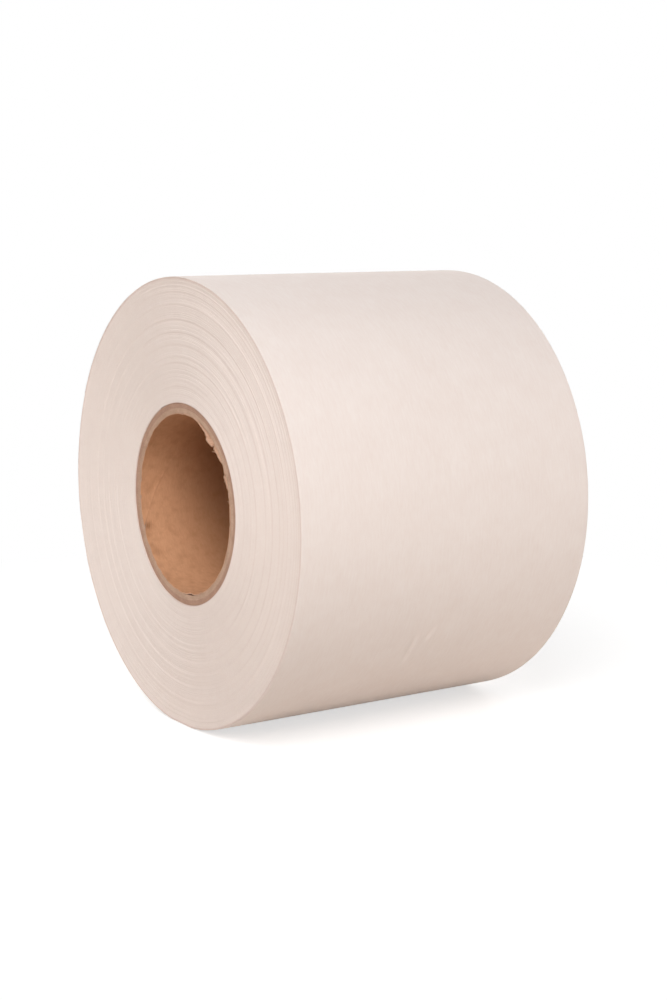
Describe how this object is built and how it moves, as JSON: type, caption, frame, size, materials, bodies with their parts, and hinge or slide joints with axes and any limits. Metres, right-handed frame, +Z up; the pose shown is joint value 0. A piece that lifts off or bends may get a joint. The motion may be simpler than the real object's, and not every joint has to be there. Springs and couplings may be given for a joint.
{
  "type": "paper roll on a board core",
  "caption": "Short wide roll of plain off-white paper, wound on a spiral board core with an open bore, its free tail closed with tape.",
  "frame": {"origin": "on the floor under the middle of the roll", "axes": "+X along the core, away from the end that the picture shows; +Y to the back; +Z up"},
  "size_m": [0.143, 0.1897, 0.1901],
  "materials": {
    "web_paper": "matt uncoated off-white paper with a faint pinkish cast and a fine fibre grain",
    "kraft_liner": "plain brown kraft paper, smooth, glued on the slant",
    "core_board": "grey-brown recycled board, cut edge",
    "start_tape": "double-sided tape under the first turn",
    "closing_tape": "creped masking tape"
  },
  "bodies": {
    "roll": {"core_liner_ply": "kraft_liner", "core_body_ply_1": "core_board", "core_body_ply_2": "core_board", "core_body_ply_3": "core_board", "core_body_ply_4": "core_board", "core_body_ply_5": "core_board", "core_body_ply_6": "core_board", "core_outer_ply": "core_board", "start_tape": "start_tape", "wound_paper": "web_paper"},
    "tail": {"paper_tail": "web_paper", "tail_tape": "closing_tape"}
  },
  "joints": [
    {"name": "tail_peel", "type": "hinge", "parent": "roll", "child": "tail", "pos_m": [0, 0.04097, 0.18043], "axis": [1, 0, 0], "range_deg": [0, 90]}
  ]
}
